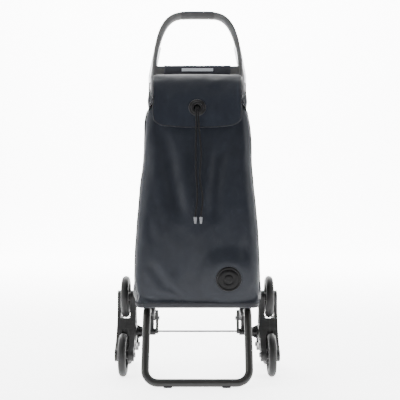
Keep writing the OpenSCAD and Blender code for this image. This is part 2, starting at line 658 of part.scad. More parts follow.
handle();
handle_screws();
hanger_sleeve();
sleeve_label();
bracket_bolts();
thrust_washers();
axle_caps();
latch_pins();
latch_rod();
foot_tube();
bag_body();
hem_cord();
bag_ties();
badge();
flap_panel();
grommet_front();
grommet_back();
for (s = SIDES) {
  on_side(s[1]) side_tube();
  on_side(s[1]) hub_bracket();
  on_side(s[1]) axle();
  on_side(s[1]) axle_cone();
  on_side(s[1]) fold_pin();
  on_side(s[1]) foot_end();
  on_side(s[1]) foot_pad();
  on_side(s[1]) latch_lever();
  on_side(s[1]) cluster_inner();
  on_side(s[1]) cluster_outer();
  on_side(s[1]) cluster_bolts();
  on_side(s[1]) cluster_sleeves();
  drawcord(s[1] < 0 ? 0 : 1);
  cord_end(s[1] < 0 ? 0 : 1);
  for (w = WHEELS) {
    on_side(s[1]) tyre(w[1]);
    on_side(s[1]) rim(w[1]);
  }
}
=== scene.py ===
"""Looks for a folding shopping trolley: bag, flap, cords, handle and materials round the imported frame."""

import math

import bmesh
import bpy
import numpy as np
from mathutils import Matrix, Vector, noise
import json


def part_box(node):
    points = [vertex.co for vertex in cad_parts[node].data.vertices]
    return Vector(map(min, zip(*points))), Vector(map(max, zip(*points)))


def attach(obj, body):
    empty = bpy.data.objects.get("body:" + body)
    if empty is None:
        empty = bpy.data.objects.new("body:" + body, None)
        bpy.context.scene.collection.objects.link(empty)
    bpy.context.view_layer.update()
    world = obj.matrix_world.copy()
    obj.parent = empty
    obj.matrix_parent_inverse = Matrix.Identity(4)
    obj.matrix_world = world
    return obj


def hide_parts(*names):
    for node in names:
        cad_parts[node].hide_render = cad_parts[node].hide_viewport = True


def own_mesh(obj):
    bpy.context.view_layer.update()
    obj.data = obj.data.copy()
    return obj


MM = 0.001
SIDES = ("left", "right")
SIGN = {"left": -1, "right": 1}

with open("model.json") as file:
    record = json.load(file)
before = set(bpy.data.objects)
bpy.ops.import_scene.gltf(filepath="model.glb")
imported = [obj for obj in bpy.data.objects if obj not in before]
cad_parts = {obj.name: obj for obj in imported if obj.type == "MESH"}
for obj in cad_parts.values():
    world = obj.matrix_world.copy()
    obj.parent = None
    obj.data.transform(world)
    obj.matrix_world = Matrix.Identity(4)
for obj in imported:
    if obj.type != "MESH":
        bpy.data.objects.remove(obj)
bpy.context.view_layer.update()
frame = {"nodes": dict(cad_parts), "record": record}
NODES = frame["nodes"]
scene = bpy.context.scene

# The frame leans back from the wheel hubs, and the bag hangs on the front of its tubes. Lengths in mm
LEAN = math.radians(3)
HUB_Y, HUB_Z = 44.67, 111.0
PANEL_Y = -15.0


def in_frame(x, y, s):
    """A point in millimetres, from one of the leaning frame: s runs up the tubes and y to their back."""
    return (
        x,
        HUB_Y + s * math.sin(LEAN) + y * math.cos(LEAN),
        HUB_Z + s * math.cos(LEAN) - y * math.sin(LEAN),
    )


def clamp(v, lo=0.0, hi=1.0):
    return max(lo, min(hi, v))


def smooth(v):
    v = clamp(v)
    return v * v * (3 - 2 * v)


def lerp(a, b, t):
    return a + (b - a) * t


def table_at(rows, key):
    """Row of a table at key, which is its first column, smoothly between the rows."""
    if key <= rows[0][0]:
        return list(rows[0][1:])
    for i in range(len(rows) - 1):
        a, b = rows[i], rows[i + 1]
        if key <= b[0]:
            t = (key - a[0]) / (b[0] - a[0])
            before = rows[max(0, i - 1)]
            after = rows[min(len(rows) - 1, i + 2)]
            out = []
            for k in range(1, len(a)):
                m0 = (b[k] - before[k]) / (b[0] - before[0]) * (b[0] - a[0])
                m1 = (after[k] - a[k]) / (after[0] - a[0]) * (b[0] - a[0])
                out.append(
                    (2 * t**3 - 3 * t**2 + 1) * a[k]
                    + (t**3 - 2 * t**2 + t) * m0
                    + (-2 * t**3 + 3 * t**2) * b[k]
                    + (t**3 - t**2) * m1
                )
            return out
    return list(rows[-1][1:])


# --- Meshes ---
def add_mesh(name, verts, faces, smooth_shade=True, uvs=None):
    """A mesh object from points in millimetres."""
    mesh = bpy.data.meshes.new(name)
    mesh.from_pydata([tuple(c * MM for c in v) for v in verts], [], faces)
    if uvs is not None:
        layer = mesh.uv_layers.new(name="UVMap")
        for loop in mesh.loops:
            layer.data[loop.index].uv = uvs[loop.vertex_index]
    obj = bpy.data.objects.new(name, mesh)
    scene.collection.objects.link(obj)
    bm = bmesh.new()
    bm.from_mesh(mesh)
    bmesh.ops.recalc_face_normals(bm, faces=bm.faces)
    bm.to_mesh(mesh)
    bm.free()
    for p in mesh.polygons:
        p.use_smooth = smooth_shade
    return obj


def grid_faces(rows, cols, closed=False):
    faces = []
    span = cols if closed else cols - 1
    for i in range(rows - 1):
        for k in range(span):
            a, b = i * cols + k, i * cols + (k + 1) % cols
            faces.append((a, b, b + cols, a + cols))
    return faces


def capped_faces(rows, sides):
    """Faces of a closed tube: its wall, then a face at each end."""
    faces = grid_faces(rows, sides, closed=True)
    faces.append(tuple(range(sides - 1, -1, -1)))
    faces.append(tuple((rows - 1) * sides + k for k in range(sides)))
    return faces


def front_uvs(verts):
    return [(v[0] * MM, v[2] * MM) for v in verts]


def apply_modifiers(obj):
    graph = bpy.context.evaluated_depsgraph_get()
    mesh = bpy.data.meshes.new_from_object(obj.evaluated_get(graph))
    obj.modifiers.clear()
    old = obj.data
    obj.data = mesh
    bpy.data.meshes.remove(old)
    return obj


def lathe(name, profile, place, steps=64):
    """A turned piece: profile of (radius, height) pairs, placed by a function of (x, y, z)."""
    verts = []
    for r, h in profile:
        for k in range(steps):
            a = 2 * math.pi * k / steps
            verts.append(place(r * math.cos(a), r * math.sin(a), h))
    rows = len(profile)
    if profile[0] != profile[-1]:
        return add_mesh(name, verts, capped_faces(rows, steps))
    total = (rows - 1) * steps
    faces = [tuple(v % total for v in f) for f in grid_faces(rows, steps, closed=True)]
    return add_mesh(name, verts[:total], faces)


def tube(name, path, radius, sides=12, strand=None):
    """A round tube along a path in millimetres, with UVs that run along it in metres."""
    points = [Vector(p) for p in path]
    verts, uvs = [], []
    run = 0.0
    side = None
    for i, p in enumerate(points):
        ahead = points[min(len(points) - 1, i + 1)] - points[max(0, i - 1)]
        d = ahead.normalized()
        if side is None:
            side = d.orthogonal().normalized()
        side = (side - d * side.dot(d)).normalized()
        up = d.cross(side)
        if i:
            run += (p - points[i - 1]).length
        r = radius(i / (len(points) - 1)) if callable(radius) else radius
        for k in range(sides):
            a = 2 * math.pi * k / sides
            grown = r * (1 + (strand(run, a) if strand else 0))
            verts.append(p + side * (grown * math.cos(a)) + up * (grown * math.sin(a)))
            uvs.append((k / sides, run * MM))
    return add_mesh(name, verts, capped_faces(len(points), sides), uvs=uvs)


def spline(route, steps):
    """Points of a smooth curve through a route's points."""
    pts = [Vector(p) for p in route]
    out = []
    for i in range(len(pts) - 1):
        a, b, c = pts[max(0, i - 1)], pts[i], pts[i + 1]
        d = pts[min(len(pts) - 1, i + 2)]
        for k in range(steps):
            t = k / steps
            square, cube = 2 * a - 5 * b + 4 * c - d, 3 * b - a - 3 * c + d
            out.append(0.5 * (2 * b + (c - a) * t + square * t * t + cube * t**3))
    out.append(pts[-1])
    return out


# --- Materials ---
class Surface:
    """A Principled material whose colour, roughness and bump come from a few procedural nodes."""

    def __init__(self, name, **sockets):
        self.material = bpy.data.materials.new(name)
        self.material.use_nodes = True
        self.tree = self.material.node_tree
        self.shader = next(n for n in self.tree.nodes if n.type == "BSDF_PRINCIPLED")
        for key, value in sockets.items():
            self.shader.inputs[key.replace("_", " ")].default_value = value
        self.normal = None
        coords = self.add("ShaderNodeTexCoord")
        self.place, self.uv = coords.outputs["Object"], coords.outputs["UV"]

    def add(self, kind, **inputs):
        node = self.tree.nodes.new(kind)
        for key, value in inputs.items():
            self.plug(value, node.inputs[key])
        return node

    def plug(self, value, socket):
        if isinstance(value, bpy.types.NodeSocket):
            self.tree.links.new(value, socket)
        else:
            socket.default_value = value

    def noise(self, scale, detail=3.0, rough=0.55, at=None):
        at = at or self.place
        return self.add("ShaderNodeTexNoise", Vector=at, Scale=scale, Detail=detail, Roughness=rough).outputs[0]

    def stretched(self, x, y, z, at=None):
        node = self.add("ShaderNodeMapping", Vector=at or self.place)
        node.inputs["Scale"].default_value = (x, y, z)
        return node.outputs[0]

    def cells(self, scale, at=None):
        return self.add("ShaderNodeTexVoronoi", Vector=at or self.place, Scale=scale).outputs["Distance"]

    def waves(self, period, along, at=None):
        """Bands of a period in metres. Blender's wave texture has 20 radians to the unit at scale 1."""
        node = self.add("ShaderNodeTexWave", Vector=at or self.uv, Scale=math.pi / (10 * period))
        node.bands_direction = along
        return node.outputs["Fac"]

    def math(self, operation, a, b):
        node = self.tree.nodes.new("ShaderNodeMath")
        node.operation = operation
        self.plug(a, node.inputs[0])
        self.plug(b, node.inputs[1])
        return node.outputs[0]

    def ramp(self, fac, *stops):
        node = self.add("ShaderNodeValToRGB", Fac=fac)
        ramp = node.color_ramp
        while len(ramp.elements) < len(stops):
            ramp.elements.new(0.5)
        for element, (where, colour) in zip(ramp.elements, stops):
            element.position = where
            element.color = (*colour, 1) if hasattr(colour, "__len__") else (colour, colour, colour, 1)
        return node.outputs["Color"]

    def mix(self, fac, a, b, blend="MIX"):
        node = self.tree.nodes.new("ShaderNodeMix")
        node.data_type = "RGBA"
        node.blend_type = blend
        self.plug(fac, node.inputs[0])
        self.plug(a if isinstance(a, bpy.types.NodeSocket) else (*a, 1), node.inputs[6])
        self.plug(b if isinstance(b, bpy.types.NodeSocket) else (*b, 1), node.inputs[7])
        return node.outputs[2]

    def to_range(self, value, low, high):
        return self.add("ShaderNodeMapRange", Value=value, **{"To Min": low, "To Max": high}).outputs[0]

    def colour(self, value):
        self.plug(value, self.shader.inputs["Base Color"])

    def roughness(self, value):
        self.plug(value, self.shader.inputs["Roughness"])

    def bump(self, height, distance, strength=1.0):
        node = self.add("ShaderNodeBump", Height=height, Distance=distance, Strength=strength)
        if self.normal:
            self.tree.links.new(self.normal, node.inputs["Normal"])
        self.normal = node.outputs[0]
        self.tree.links.new(self.normal, self.shader.inputs["Normal"])


def shade(colour, factor):
    return tuple(min(1.0, c * factor) for c in colour)


def woven(name, colour, period, coarse=1.0, rough=(0.36, 0.52), sheen=0.05, gloss=0.13):
    """Coated cloth: a fine plain weave, cloudy colour, soft sheen and small handling creases."""
    s = Surface(name, Sheen_Weight=sheen, Sheen_Roughness=0.45, Specular_IOR_Level=gloss)
    threads = s.math("MULTIPLY", s.waves(period, "X"), s.waves(period, "Y"))
    clouds = s.noise(7.0, 4.0, 0.6)
    fine = s.noise(420.0, 2.0)
    body = s.ramp(clouds, (0.3, shade(colour, 0.84)), (0.5, colour), (0.72, shade(colour, 1.2)))
    body = s.mix(s.to_range(threads, 0.0, 0.35), body, shade(colour, 0.45))
    s.colour(s.mix(s.to_range(fine, 0.0, 0.3), body, shade(colour, 1.5)))
    s.roughness(s.to_range(s.noise(28.0, 3.0), *rough))
    creases = s.noise(1.0, 5.0, 0.62, at=s.stretched(24, 24, 13))
    s.bump(creases, 0.0022 * coarse, 0.5)
    s.bump(s.noise(130.0, 3.0), 0.0004, 0.4)
    s.bump(threads, 0.00012, 0.5)
    return s.material


def moulded(name, colour, rough=(0.42, 0.56), grain=900.0, depth=0.00008, worn=1.25, gloss=0.22):
    """Moulded plastic: spark-eroded grain, slight mottling and paler rubbed patches."""
    s = Surface(name, Specular_IOR_Level=gloss)
    mottle = s.noise(45.0, 4.0)
    rub = s.noise(9.0, 5.0, 0.7)
    body = s.ramp(mottle, (0.3, shade(colour, 0.88)), (0.7, shade(colour, 1.1)))
    s.colour(s.mix(s.ramp(rub, (0.58, 0.0), (0.78, 0.45)), body, shade(colour, worn)))
    s.roughness(s.to_range(s.noise(70.0, 3.0), *rough))
    s.bump(s.cells(grain), depth, 0.6)
    s.bump(s.noise(260.0, 2.0), depth * 1.5, 0.35)
    return s.material


def rubber(name, colour):
    """Tyre and pad rubber: dull, dusty in patches, with a fine skin."""
    s = Surface(name, Specular_IOR_Level=0.16)
    dust = s.noise(26.0, 6.0, 0.7)
    body = s.ramp(dust, (0.35, shade(colour, 0.78)), (0.6, colour), (0.8, shade(colour, 1.5)))
    s.colour(body)
    s.roughness(s.to_range(dust, 0.38, 0.6))
    s.bump(s.noise(900.0, 3.0), 0.00012, 0.6)
    s.bump(s.noise(90.0, 2.0), 0.0002, 0.3)
    return s.material


def metal(name, colour, rough, brushed=(900.0, 900.0, 14.0), lines=0.00004):
    """Drawn or plated metal, with fine lines along the piece and soft smudges."""
    s = Surface(name, Metallic=1.0)
    streaks = s.noise(1.0, 3.0, at=s.stretched(*brushed))
    smudge = s.noise(24.0, 4.0)
    s.colour(s.ramp(s.math("MULTIPLY", streaks, smudge), (0.1, shade(colour, 0.8)), (0.4, colour)))
    s.roughness(s.math("ADD", s.to_range(streaks, rough * 0.75, rough), s.to_range(smudge, 0.0, 0.12)))
    s.bump(streaks, lines, 0.5)
    return s.material


def coated(name, colour):
    """Powder-coated steel: satin with orange peel and a few fine scuffs."""
    s = Surface(name, Coat_Weight=0.05, Coat_Roughness=0.3, Specular_IOR_Level=0.2)
    scuff = s.noise(1.0, 5.0, 0.7, at=s.stretched(60, 60, 22))
    body = s.ramp(s.noise(30.0, 3.0), (0.3, shade(colour, 0.88)), (0.7, shade(colour, 1.12)))
    s.colour(s.mix(s.ramp(scuff, (0.62, 0.0), (0.78, 0.35)), body, shade(colour, 2.2)))
    s.roughness(s.to_range(s.noise(60.0, 3.0), 0.34, 0.5))
    s.bump(s.noise(700.0, 2.0), 0.00009, 0.5)
    return s.material


CORD_ROUND = 0.006  # metres of cord surface that one turn of its UVs stands for


def braided(name, colour, period=0.0022):
    """Braided cord: crossing strands that spiral along the tube's UVs."""
    s = Surface(name, Sheen_Weight=0.03, Sheen_Roughness=0.5, Specular_IOR_Level=0.1)
    unrolled = s.stretched(CORD_ROUND, 1, 1, at=s.uv)
    left = s.add("ShaderNodeMapping", Vector=unrolled)
    left.inputs["Rotation"].default_value = (0, 0, math.radians(40))
    right = s.add("ShaderNodeMapping", Vector=unrolled)
    right.inputs["Rotation"].default_value = (0, 0, math.radians(-40))
    one_way, other_way = (s.waves(period, "X", at=turned.outputs[0]) for turned in (left, right))
    strands = s.math("MAXIMUM", one_way, other_way)
    s.colour(s.ramp(strands, (0.2, shade(colour, 0.4)), (0.75, colour), (1.0, shade(colour, 1.7))))
    s.roughness(s.to_range(s.noise(200.0), 0.6, 0.85))
    s.bump(strands, 0.0005, 0.8)
    return s.material


# The view transform lifts dark colours, so the albedos and specular levels are low
NAVY = (0.0068, 0.0082, 0.0116)
MATS = {
    "bag_fabric": woven("bag_fabric", NAVY, 0.0009),
    "flap_fabric": woven("flap_fabric", shade(NAVY, 1.15), 0.0009, rough=(0.45, 0.6), gloss=0.06),
    # The gussets' cloth is the bag's navy at half its brightness and without sheen: painted shade for the shadow
    # in the folds beside the flap
    "gusset_painted_shade": woven(
        "gusset_painted_shade", shade(NAVY, 0.5), 0.0009, rough=(0.6, 0.75), sheen=0.0, gloss=0.02
    ),
    "lining": woven("lining", (0.006, 0.0065, 0.0075), 0.0012, sheen=0.0, gloss=0.04),
    "sleeve_fabric": woven("sleeve_fabric", (0.026, 0.027, 0.033), 0.001, coarse=0.5),
    "label_fabric": woven("label_fabric", (0.34, 0.36, 0.39), 0.0007, coarse=0.2, sheen=0.2),
    "binding": woven("binding", (0.005, 0.0055, 0.0075), 0.0008, coarse=0.4, rough=(0.5, 0.7)),
    "webbing": woven("webbing", (0.009, 0.0095, 0.012), 0.0016, coarse=0.3, rough=(0.55, 0.75)),
    "thread": woven("thread", (0.02, 0.024, 0.032), 0.0005, coarse=0.2),
    "handle_plastic": moulded("handle_plastic", (0.045, 0.045, 0.0455), rough=(0.46, 0.6)),
    "grip": moulded("grip", (0.028, 0.028, 0.0285), rough=(0.6, 0.75), grain=500.0, depth=0.0002),
    "bracket_plastic": moulded("bracket_plastic", (0.009, 0.009, 0.0095)),
    "cap_plastic": moulded("cap_plastic", (0.015, 0.015, 0.0155), rough=(0.3, 0.45)),
    "lever_plastic": moulded("lever_plastic", (0.03, 0.03, 0.0305)),
    "cluster_plastic": moulded("cluster_plastic", (0.018, 0.018, 0.0182), rough=(0.36, 0.5)),
    "rim_plastic": moulded("rim_plastic", (0.02, 0.02, 0.0202), rough=(0.36, 0.5)),
    "badge_rubber": moulded("badge_rubber", (0.003, 0.003, 0.0032), rough=(0.28, 0.4), gloss=0.08),
    "grommet_plastic": moulded(
        "grommet_plastic", (0.005, 0.005, 0.0055), rough=(0.25, 0.38), grain=1400.0, depth=0.00004
    ),
    "cord_tip": moulded("cord_tip", (0.09, 0.094, 0.1), rough=(0.28, 0.4)),
    "tyre": rubber("tyre", (0.014, 0.014, 0.0142)),
    "pad_rubber": rubber("pad_rubber", (0.008, 0.008, 0.008)),
    "tube_aluminium": metal("tube_aluminium", (0.82, 0.83, 0.85), 0.32),
    "steel": metal("steel", (0.2, 0.2, 0.205), 0.38, brushed=(300.0, 300.0, 300.0)),
    "foot_paint": coated("foot_paint", (0.0105, 0.0103, 0.0098)),
    "rod_steel": coated("rod_steel", (0.02, 0.02, 0.02)),
    "cord": braided("cord", (0.0028, 0.0028, 0.0032)),
}


def dress(obj, name):
    obj.data.materials.clear()
    obj.data.materials.append(MATS[name])
    return obj


# --- Camera, and the drawcord's tails, which the camera's view has to hold ---
CAMERA_AT = (0.0075, -2.382, 0.493)
LENS = 75.3
camera = bpy.data.objects.new("camera", bpy.data.cameras.new("camera"))
scene.collection.objects.link(camera)
camera.data.lens = LENS
camera.data.sensor_width = 36.0
camera.location = CAMERA_AT
camera.rotation_euler = (math.radians(90), 0, 0)
scene.camera = camera

# Each tail's route, from the mouth through the grommet and down the front, in millimetres
CORDS = {
    "left": [
        (-3, -55, 767), (-3, -62, 761), (-3, -70, 754), (-3, -78, 748), (-3, -86, 742), (-3, -91, 733),
        (-3, -93, 720), (-3, -95, 705), (-3, -97, 690), (-3, -99, 670), (-4, -105, 645), (-4, -113, 618),
        (-4, -121, 590), (-3, -129, 562), (-1, -136, 535), (0, -143, 508), (-1, -149, 482), (-4, -154, 462),
        (-5, -157, 448),
    ],
    "right": [
        (3, -55, 767), (3, -62, 761), (3, -70, 754), (3, -78, 748), (3, -86, 742), (3, -91, 733),
        (3, -93, 720), (4, -95, 705), (5, -97, 690), (7, -99, 670), (9, -105, 645), (11, -113, 618),
        (9, -121, 590), (7, -129, 562), (9, -136, 535), (14, -143, 508), (14, -149, 482), (11, -154, 462),
        (10, -157, 448),
    ],
}
# A crimped metal-look tip: radius and height below the tail's end
TIP_PROFILE = [
    (2.0, -18.0), (2.6, -17.6), (2.9, -16.8), (3.0, -15.6), (3.5, -11.0), (4.2, -9.0), (4.25, -8.2), (3.95, -7.6),
    (3.95, -6.9), (4.3, -6.3), (4.5, -3.0), (4.5, -1.2), (4.1, -0.4), (3.2, 0.0),
]
for side in SIDES:
    route = spline(CORDS[side], 4)
    tail = dress(tube(f"cord_tail_{side}", route, 2.2, sides=14), "cord")
    end = CORDS[side][-1]
    tip = lathe(f"cord_tip_{side}", TIP_PROFILE, lambda x, y, z, e=end: (e[0] + x, e[1] + y, e[2] + z), 40)
    dress(tip, "cord_tip")
    for obj, slot_name, node in ((tail, "cord", f"drawcord_{side}"), (tip, "cord_tip", f"cord_end_{side}")):
        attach(obj, "frame")
        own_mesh(obj)
        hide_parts(node)


# --- Bag ---
# Height, half-width, front panel's y, and how round the front corners are, in millimetres
BAG = [
    (203, 164, -127, 16),
    (212, 167, -134, 18),
    (235, 170.5, -143, 21),
    (285, 172, -151, 26),
    (360, 170.5, -154, 32),
    (440, 167.5, -150, 36),
    (520, 162, -134, 38),
    (600, 155, -111, 38),
    (690, 150.5, -81, 34),
    (740, 140, -64, 30),
    (772, 118, -49, 24),
]
BAG_BOTTOM, BAG_TOP = BAG[0][0], BAG[-1][0]
BACK_ROUND = 9
BAG_ROWS = 83
HELD_BASE_ROWS, HELD_MOUTH_ROWS = 3, 6
CLOTH_FRAMES = 26
CLOTH_CAP = 0.009  # metres that a point may move in the simulation
STEPS = {"front": 66, "corner": 8, "side": 36, "heel": 4, "back": 36}
SEGMENTS = (
    ("front", 1), ("corner", 1), ("side", 1), ("heel", 1),
    ("back", 1), ("heel", -1), ("side", -1), ("corner", -1),
)
# Long soft folds of the front: two ends in x and z, depth and half-width
FOLDS = [
    (-96, 690, -44, 430, 7.0, 19),
    (-44, 430, -62, 290, 2.5, 20),
    (66, 650, 40, 430, 6.0, 17),
    (40, 430, 58, 330, 2.0, 18),
    (-10, 690, 2, 560, 1.6, 18),
    (-132, 330, -70, 250, 2.2, 11),
    (-116, 246, -24, 214, 3.0, 7),
    (-74, 264, -30, 226, 2.0, 6),
    (24, 236, 92, 214, 2.0, 8),
    (134, 400, 112, 250, 2.2, 11),
    (-150, 480, -120, 380, 2.0, 12),
]


def back_y(z):
    return HUB_Y + (z - HUB_Z) * math.tan(LEAN) + PANEL_Y / math.cos(LEAN)


def fold_depth(x, z):
    """How far the front stands out at a place, in millimetres: valleys with a raised lip on each side."""
    total = 0.0
    for x0, z0, x1, z1, depth, width in FOLDS:
        dx, dz = x1 - x0, z1 - z0
        t = ((x - x0) * dx + (z - z0) * dz) / (dx * dx + dz * dz)
        bend = 4 * noise.noise(Vector((x0 * 0.1, z * 0.012, 3.0)))
        near = clamp(t)
        d = math.hypot(x - (x0 + dx * near) + bend, z - (z0 + dz * near))
        fade = smooth(t / 0.25 + 0.2) * smooth((1 - t) / 0.25 + 0.2)
        lip = 0.5 * math.exp(-(((d - 2.0 * width) / width) ** 2))
        total += depth * fade * (lip - math.exp(-((d / width) ** 2)))
    return total


def cloth_noise(x, y, z):
    broad = noise.noise(Vector((x / 70, y / 70 + 5, z / 190)))
    fine = noise.noise(Vector((x / 22 + 9, y / 22, z / 52)))
    return 3.4 * broad + 1.1 * fine


def bag_point(part, side, t, z):
    """Point of the bag's outline at a height, with the outward direction there."""
    w, f, c = table_at(BAG, z)
    r, k = back_y(z), BACK_ROUND
    if part == "front":
        crown = 3.5 * (1 - (2 * t - 1) ** 2)
        return (lerp(-w + c, w - c, t), f - crown * smooth((z - 210) / 60), 0.0, -1.0)
    if part == "corner":
        a = math.pi / 2 * (t if side > 0 else 1 - t)
        return (side * (w - c + c * math.sin(a)), f + c - c * math.cos(a), side * math.sin(a), -math.cos(a))
    if part == "side":
        along = t if side > 0 else 1 - t
        return (side * w, lerp(f + c, r - k, along), side * 1.0, 0.0)
    if part == "heel":
        a = math.pi / 2 * (t if side > 0 else 1 - t)
        return (side * (w - k + k * math.cos(a)), r - k + k * math.sin(a), side * math.cos(a), math.sin(a))
    return (lerp(w - k, -w + k, t), r, 0.0, 1.0)


def bag_columns():
    out = []
    for part, side in SEGMENTS:
        n = STEPS[part]
        out += [(part, side, i / n) for i in range(n)]
    return out


COLUMNS = bag_columns()
COLUMN_COUNT = len(COLUMNS)


def bag_push(part, side, t, x, y, z):
    """Sculpted folds: out of the surface, in millimetres. There is less room under the flap."""
    hem = smooth((z - 208) / 26)
    mouth = smooth((z - 700) / 60)
    if part in ("back", "heel"):
        return -0.4
    push = cloth_noise(x, y, z) * (0.45 + 0.55 * hem) * (1 - 0.6 * mouth)
    if part == "front":
        push += fold_depth(x, z) * hem
        push += mouth * 2.0 * math.sin(x * 0.3 + 3 * noise.noise(Vector((x / 40, 0, z / 60))))
    elif part == "side":
        sag = math.sin(math.pi * (t if side > 0 else 1 - t))
        push += sag * (-5.0 * smooth((z - 230) / 120) + 3.0 * noise.noise(Vector((side * 7, y / 45, z / 80))))
        push += mouth * 2.5 * math.sin(y * 0.4)
    else:
        push += 0.35 * fold_depth(x, z) * hem
    push -= 0.3 * hem * math.exp(-(((z - 222) / 8) ** 2))
    room = lerp(9.0, 1.5, smooth((z - 590) / 100))
    return push if push < 0 else room * math.tanh(push / room)


def make_bag():
    heights = [BAG_BOTTOM + (BAG_TOP - BAG_BOTTOM) * i / (BAG_ROWS - 1) for i in range(BAG_ROWS)]
    verts, uvs = [], []
    around = 0.0
    for z in heights:
        run, last = 0.0, None
        for part, side, t in COLUMNS:
            x, y, nx, ny = bag_point(part, side, t, z)
            push = bag_push(part, side, t, x, y, z)
            p = (x + nx * push, y + ny * push, z)
            if last is not None:
                run += math.hypot(x - last[0], y - last[1])
            last = (x, y)
            verts.append(p)
            uvs.append((run * MM, z * MM))
    n = COLUMN_COUNT
    faces = grid_faces(len(heights), n, closed=True)
    # The base: rings that step in from the bottom edge to a middle fan
    base_rows = [(0.985, -1.6), (0.93, -2.0), (0.7, -1.0), (0.35, 0.0)]
    cy = sum(v[1] for v in verts[:n]) / n
    for share, drop in base_rows:
        for k in range(n):
            x, y, _ = verts[k]
            verts.append((x * share, cy + (y - cy) * share, BAG_BOTTOM + drop))
            uvs.append((x * share * MM, y * share * MM))
    start = len(heights) * n
    rows = [list(range(n))] + [list(range(start + i * n, start + (i + 1) * n)) for i in range(len(base_rows))]
    for a, b in zip(rows, rows[1:]):
        for k in range(n):
            faces.append((a[k], b[k], b[(k + 1) % n], a[(k + 1) % n]))
    centre = len(verts)
    verts.append((0, cy, BAG_BOTTOM))
    uvs.append((0, cy * MM))
    for k in range(n):
        faces.append((rows[-1][k], centre, rows[-1][(k + 1) % n]))
    bag = add_mesh("bag_shell", verts, faces, uvs=uvs)
    return bag, heights


def relax_bag(bag, heights):
    """Lets the sculpted shell hang for a moment as cloth: held by its back, base and mouth."""
    n = COLUMN_COUNT
    held = bag.vertex_groups.new(name="held")
    for i in range(len(heights)):
        sewn = i < HELD_BASE_ROWS or i >= len(heights) - HELD_MOUTH_ROWS
        for k, (part, _, _) in enumerate(COLUMNS):
            weight = 1.0 if sewn or part in ("back", "heel") else 0.12 if part == "corner" else 0.0
            if weight:
                held.add([i * n + k], weight, "REPLACE")
    held.add(list(range(len(heights) * n, len(bag.data.vertices))), 1.0, "REPLACE")
    rest = np.array([v.co for v in bag.data.vertices])
    cloth = bag.modifiers.new("cloth", "CLOTH")
    c = cloth.settings
    c.quality = 6
    c.mass = 0.25
    c.tension_stiffness = c.compression_stiffness = 25
    c.shear_stiffness = 12
    c.bending_stiffness = 0.9
    c.air_damping = 2.0
    c.vertex_group_mass = "held"
    c.shrink_min = -0.022
    cloth.collision_settings.use_collision = False
    cloth.point_cache.frame_start, cloth.point_cache.frame_end = 1, CLOTH_FRAMES
    for f in range(1, CLOTH_FRAMES + 1):
        scene.frame_set(f)
    apply_modifiers(bag)
    scene.frame_set(1)
    co = np.array([v.co for v in bag.data.vertices])
    move = co - rest
    size = np.linalg.norm(move, axis=1)
    share = np.where(size > 1e-9, CLOTH_CAP * np.tanh(size / CLOTH_CAP) / np.maximum(size, 1e-9), 1.0)
    # Less and less of the move towards the flap, from 0.58 m to 0.70 m up
    share = share * (1 - 0.6 * np.clip((rest[:, 2] - 0.58) / 0.12, 0, 1))
    co = rest + move * share[:, None]
    for v, p in zip(bag.data.vertices, co):
        v.co = p


def column(obj, part, side, share):
    """The shell's points up one column, in millimetres."""
    n = COLUMN_COUNT
    wanted = min(range(n), key=lambda k: (COLUMNS[k][:2] != (part, side), abs(COLUMNS[k][2] - share)))
    return [obj.data.vertices[i * n + wanted].co / MM for i in range(BAG_ROWS)]


def row(obj, i):
    """The shell's points round one height, in millimetres."""
    n = COLUMN_COUNT
    return [obj.data.vertices[i * n + k].co / MM for k in range(n)]


def ride_soft(obj, body="frame", replaces=()):
    """A bag piece: it rides on its body, with a mesh of its own, in place of the parts it replaces."""
    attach(obj, body)
    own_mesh(obj)
    if replaces:
        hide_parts(*replaces)


def thicken(obj, thickness, lining=None, offset=-1.0):
    solid = obj.modifiers.new("thickness", "SOLIDIFY")
    solid.thickness = thickness * MM
    solid.offset = offset
    if lining:
        obj.data.materials.append(MATS[lining])
        solid.material_offset = 1


def make_cloth(obj, thickness, lining=None, offset=0):
    """Gives a sheet its thickness and smooths it once."""
    thicken(obj, thickness, lining, offset)
    sub = obj.modifiers.new("smooth", "SUBSURF")
    sub.levels = sub.render_levels = 1
    apply_modifiers(obj)


STITCH_SIDES = 6


def stitches(name, path, out, pitch=5.2, length=3.2, width=0.55):
    """A row of thread stitches along a path: short rounded dashes that stand on the cloth."""
    pts = [Vector(p) for p in path]
    run = [0.0]
    for a, b in zip(pts, pts[1:]):
        run.append(run[-1] + (b - a).length)
    verts, faces = [], []

    def at(d):
        for i in range(len(pts) - 1):
            if d <= run[i + 1]:
                t = (d - run[i]) / max(1e-6, run[i + 1] - run[i])
                return pts[i].lerp(pts[i + 1], t), i
        return pts[-1], len(pts) - 2

    d = pitch
    while d + length < run[-1]:
        (p, i), (q, _) = at(d), at(d + length)
        along = (q - p).normalized()
        up = Vector(out(i) if callable(out) else out)
        up = (up - along * up.dot(along)).normalized()
        side = along.cross(up)
        base = len(verts)
        for share, w, h in ((0.0, 0.5, 0.1), (0.2, 1.0, 0.9), (0.8, 1.0, 0.9), (1.0, 0.5, 0.1)):
            c = p.lerp(q, share)
            for k in range(STITCH_SIDES):
                a = math.pi * 2 * k / STITCH_SIDES
                verts.append(c + side * (width * w * math.cos(a)) + up * (0.45 * h * math.sin(a) + 0.1))
        faces += [tuple(base + v for v in f) for f in capped_faces(4, STITCH_SIDES)]
        d += pitch
    return dress(add_mesh(name, verts, faces, uvs=front_uvs(verts)), "thread")


